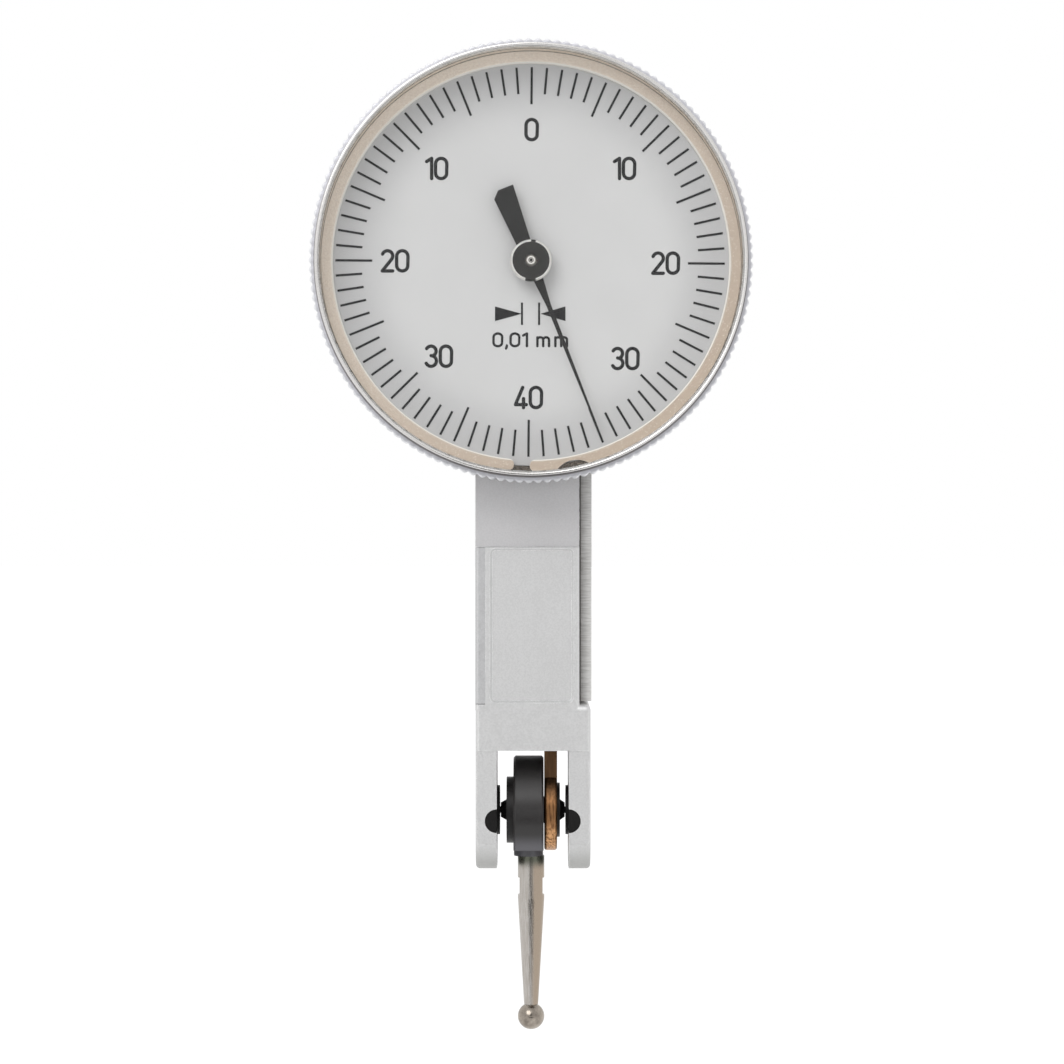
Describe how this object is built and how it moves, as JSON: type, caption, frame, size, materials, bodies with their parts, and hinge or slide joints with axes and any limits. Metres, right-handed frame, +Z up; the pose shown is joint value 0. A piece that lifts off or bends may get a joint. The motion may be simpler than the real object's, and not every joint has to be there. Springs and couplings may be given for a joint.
{
  "type": "dial test indicator",
  "caption": "Lever-type dial test indicator: tilting ball stylus on a forked dovetail body, geared to a pointer under a knurled bezel that turns with its dial.",
  "frame": {"origin": "centre of the rear dovetail's outer face, in the plane of the stylus", "axes": "+Z up along the body towards the dial, +Y out of the rear dovetail, the dial faces -Y, +X right as the dial is read"},
  "size_m": [0.032, 0.0156, 0.0728],
  "materials": {
    "satin_steel": "satin",
    "plated_body": "pearl matte",
    "bezel_chrome": "matte chrome with a polished rim",
    "screw_steel": "turned",
    "clear_crystal": "clear",
    "dial_white": "matte",
    "ring_tan": "speckled matte",
    "pointer_black": "satin",
    "black_oxide": "blackened",
    "bronze": "ground",
    "brass_movement": "ground",
    "jewel_red": "polished",
    "spring_steel": "blued",
    "polished_steel": "polished"
  },
  "bodies": {
    "housing": {"body_frame": "plated_body", "side_cover": "plated_body", "cover_screws": "screw_steel", "dial_case": "satin_steel", "case_screws": "screw_steel", "friction_ring": "spring_steel", "movement_bridge": "brass_movement", "bridge_screws": "screw_steel", "front_jewel": "jewel_red", "rear_cock": "brass_movement", "cock_screw": "screw_steel", "rear_jewel": "jewel_red", "hairspring": "spring_steel", "hairspring_stud": "brass_movement", "arbor_bearing_left": "brass_movement", "arbor_bearing_right": "brass_movement", "pivot_bearing_left": "black_oxide", "pivot_bearing_right": "black_oxide", "pivot_screw_left": "screw_steel", "pivot_screw_right": "screw_steel"},
    "bezel": {"bezel_ring": "bezel_chrome", "crystal": "clear_crystal", "split_ring": "ring_tan", "dial_plate": "dial_white"},
    "lever": {"transmission_lever": "bronze", "pivot_shaft": "black_oxide", "clamp_nut": "black_oxide", "lever_washer": "black_oxide"},
    "stylus": {"stylus_hub": "black_oxide", "stylus_shank": "polished_steel", "contact_ball": "polished_steel"},
    "crown": {"crown_wheel": "brass_movement", "crown_arbor": "screw_steel"},
    "pointer": {"centre_arbor": "polished_steel", "hairspring_collet": "brass_movement", "pointer_hand": "pointer_black", "pointer_boss": "pointer_black"}
  },
  "joints": [
    {"name": "bezel_turn", "type": "hinge", "parent": "housing", "child": "bezel", "pos_m": [0, -0.0049, 0.01125], "axis": [0, 1, 0], "continuous": true},
    {"name": "lever_swing", "type": "hinge", "parent": "housing", "child": "lever", "pos_m": [0, -0.0049, -0.02915], "axis": [1, 0, 0], "range_deg": [-1.48, 1.48], "stiffness_Nm_per_rad": 0.085},
    {"name": "stylus_tilt", "type": "hinge", "parent": "lever", "child": "stylus", "pos_m": [0, -0.0049, -0.02915], "axis": [1, 0, 0], "range_deg": [-120, 120]},
    {"name": "crown_spin", "type": "hinge", "parent": "housing", "child": "crown", "pos_m": [0, -0.0049, 0.01125], "axis": [1, 0, 0], "range_deg": [-42, 42]},
    {"name": "pointer_spin", "type": "hinge", "parent": "housing", "child": "pointer", "pos_m": [0, -0.0049, 0.01125], "axis": [0, 1, 0], "range_deg": [-182, 182], "deforming": ["hairspring"]}
  ],
  "couplings": [
    {"joint": "crown_spin", "follows": "lever_swing", "ratio": -27.857},
    {"joint": "pointer_spin", "follows": "lever_swing", "ratio": 121.56}
  ]
}
